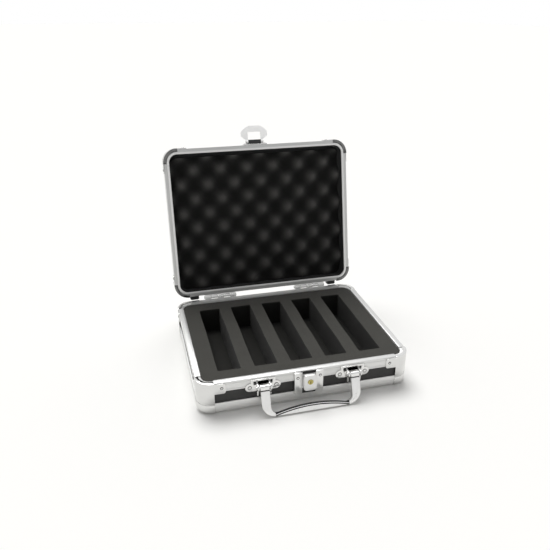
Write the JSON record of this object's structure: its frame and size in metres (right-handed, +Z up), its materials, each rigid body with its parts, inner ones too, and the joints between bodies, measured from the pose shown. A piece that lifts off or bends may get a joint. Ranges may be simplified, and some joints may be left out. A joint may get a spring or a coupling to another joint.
{
  "type": "battery case",
  "caption": "Small flight case with aluminium edges, chrome corner caps, slotted foam, an egg-crate lined hinged lid, slide lock with hasp and a swinging handle.",
  "frame": {"origin": "middle of the base's underside, on the surface that the case stands on", "axes": "+X to the right seen from the handle side, +Y to the back, towards the hinges, +Z up"},
  "size_m": [0.2354, 0.2693, 0.244],
  "materials": {
    "extrusion": "satin anodised",
    "black_laminate": "fine leather grain, low sheen",
    "post": "plain",
    "corner_cap": "bright nickel plate",
    "rivet": "bright",
    "slotted_foam": "cut foam, fine open cells",
    "foam_pad": "cut foam",
    "egg_crate_foam": "open-cell foam, egg-crate profile",
    "lining": "thin black felt",
    "rubber_foot": "matt",
    "steel_pin": "drawn wire",
    "hinge_plate": "nickel plate",
    "bracket": "polished",
    "handle": "polished, lightly brushed",
    "lock_housing": "polished",
    "lock_liner": "satin black",
    "lock_cap": "satin",
    "key_brass": "polished",
    "spring_wire": "wire",
    "hasp_chrome": "polished",
    "hinge_block": "black"
  },
  "bodies": {
    "case_base": {"base_rim": "extrusion", "base_edge_frame": "extrusion", "base_front_panel": "black_laminate", "base_rear_panel": "black_laminate", "base_left_panel": "black_laminate", "base_right_panel": "black_laminate", "base_floor_panel": "black_laminate", "base_corner_posts": "post", "base_cap_front_left": "corner_cap", "base_cap_front_right": "corner_cap", "base_cap_rear_left": "corner_cap", "base_cap_rear_right": "corner_cap", "base_cap_rivets": "rivet", "slotted_foam": "slotted_foam", "foam_base_pad": "foam_pad", "base_rear_foot_left": "rubber_foot", "base_rear_foot_right": "rubber_foot", "hinge_base_leaf_left": "hinge_plate", "hinge_base_leaf_right": "hinge_plate", "hinge_pin_left": "steel_pin", "hinge_pin_right": "steel_pin", "hinge_base_rivets": "rivet", "handle_bracket_left": "bracket", "handle_bracket_right": "bracket", "handle_pin_left": "steel_pin", "handle_pin_right": "steel_pin", "handle_bracket_rivets": "rivet", "lock_housing": "lock_housing", "lock_back_plate": "lock_liner", "lock_rivets": "rivet", "catch_spring": "spring_wire"},
    "case_lid": {"lid_rim": "extrusion", "lid_edge_frame": "extrusion", "lid_front_panel": "black_laminate", "lid_rear_panel": "black_laminate", "lid_left_panel": "black_laminate", "lid_right_panel": "black_laminate", "lid_top_panel": "black_laminate", "lid_corner_posts": "post", "lid_cap_front_left": "corner_cap", "lid_cap_front_right": "corner_cap", "lid_cap_rear_left": "corner_cap", "lid_cap_rear_right": "corner_cap", "lid_cap_rivets": "rivet", "lid_lining": "lining", "egg_crate_foam": "egg_crate_foam", "lid_rear_foot_left": "rubber_foot", "lid_rear_foot_right": "rubber_foot", "hinge_lid_leaf_left": "hinge_plate", "hinge_lid_leaf_right": "hinge_plate", "hinge_lid_rivets": "rivet", "hasp_bracket": "hasp_chrome", "hasp_hinge_block": "hinge_block", "hasp_rivets": "rivet", "hasp_pin": "steel_pin", "hasp_spring": "spring_wire"},
    "handle": {"handle": "handle"},
    "catch": {"lock_cap": "lock_cap"},
    "key": {"key_cylinder": "key_brass"},
    "hasp": {"hasp_loop": "hasp_chrome"}
  },
  "joints": [
    {"name": "lid_hinge", "type": "hinge", "parent": "case_base", "child": "case_lid", "pos_m": [0, 0.0956, 0.04], "axis": [1, 0, 0], "range_deg": [0, 101.7]},
    {"name": "handle_swing", "type": "hinge", "parent": "case_base", "child": "handle", "pos_m": [0, -0.099, 0.03], "axis": [-1, 0, 0], "range_deg": [-27, 77]},
    {"name": "hasp_hinge", "type": "hinge", "parent": "case_lid", "child": "hasp", "pos_m": [0, 0.14893, 0.22452], "axis": [1, 0, 0], "range_deg": [0, 90], "stiffness_Nm_per_rad": 0.002, "springref_deg": -45.84},
    {"name": "catch_slide", "type": "slide", "parent": "case_base", "child": "catch", "axis": [0, 0, -1], "range_m": [0, 0.003], "stiffness_N_per_m": 400, "springref_m": -0.002, "deforming": ["catch_spring"]},
    {"name": "key_turn", "type": "hinge", "parent": "catch", "child": "key", "pos_m": [0, -0.0993, 0.0287], "axis": [0, -1, 0], "range_deg": [0, 90]}
  ]
}
